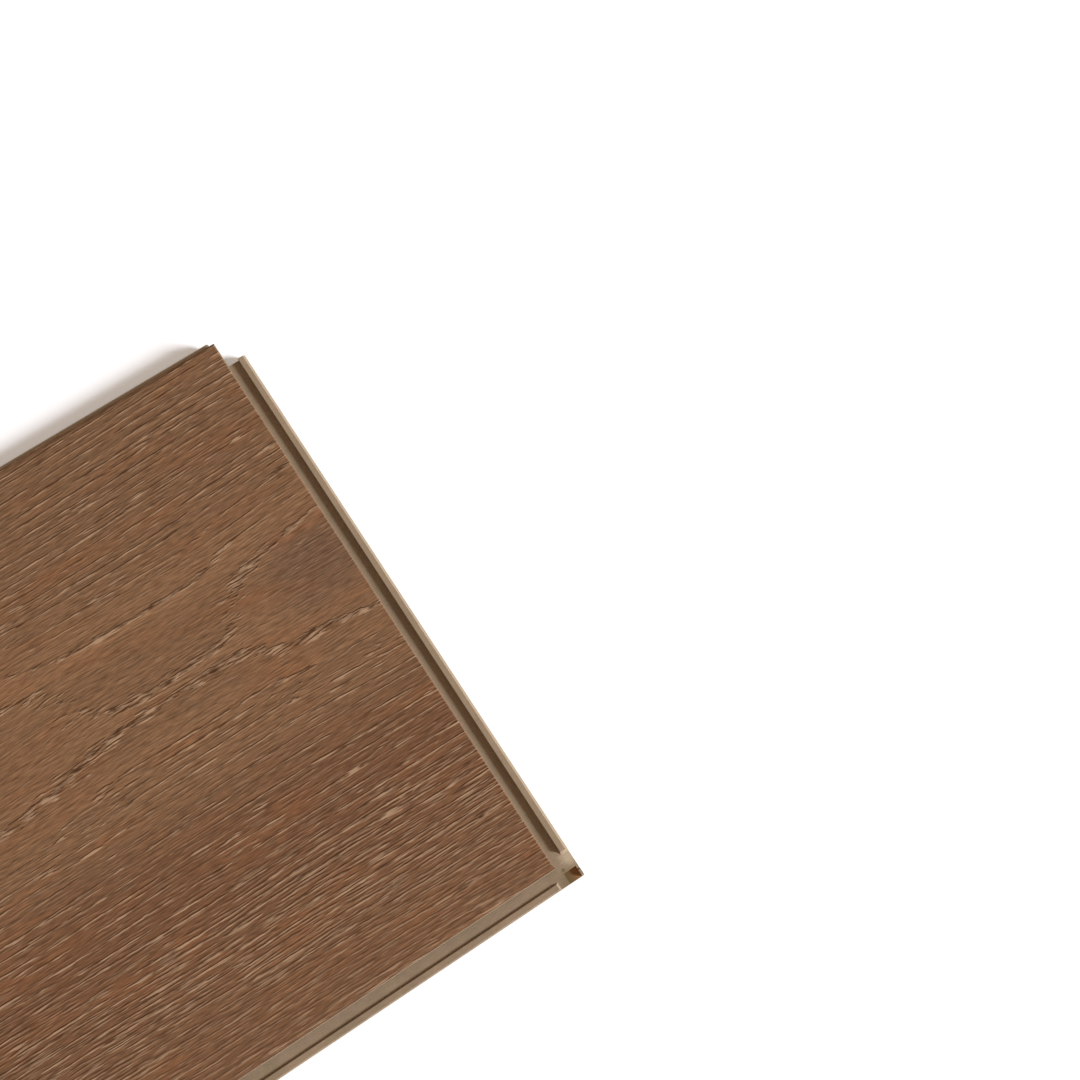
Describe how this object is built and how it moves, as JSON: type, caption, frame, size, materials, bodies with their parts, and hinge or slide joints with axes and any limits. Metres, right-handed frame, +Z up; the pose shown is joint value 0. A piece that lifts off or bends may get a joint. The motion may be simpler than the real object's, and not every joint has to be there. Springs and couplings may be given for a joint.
{
  "type": "floating floor plank",
  "caption": "Flat floating floor plank with a wood-grain decor face on a fibreboard core, and a click tongue and groove milled round its edges.",
  "frame": {"origin": "on the underside, below the centre of the decor face", "axes": "+X along the plank towards its groove end, +Y across it towards its tongue side, +Z up out of the decor face"},
  "size_m": [1.2229, 0.2035, 0.008],
  "materials": {
    "fibreboard": "raw milled high-density fibreboard",
    "decor": "matt embossed brown oak laminate"
  },
  "bodies": {
    "root": {"core_board": "fibreboard", "decor_layer": "decor"}
  },
  "joints": []
}
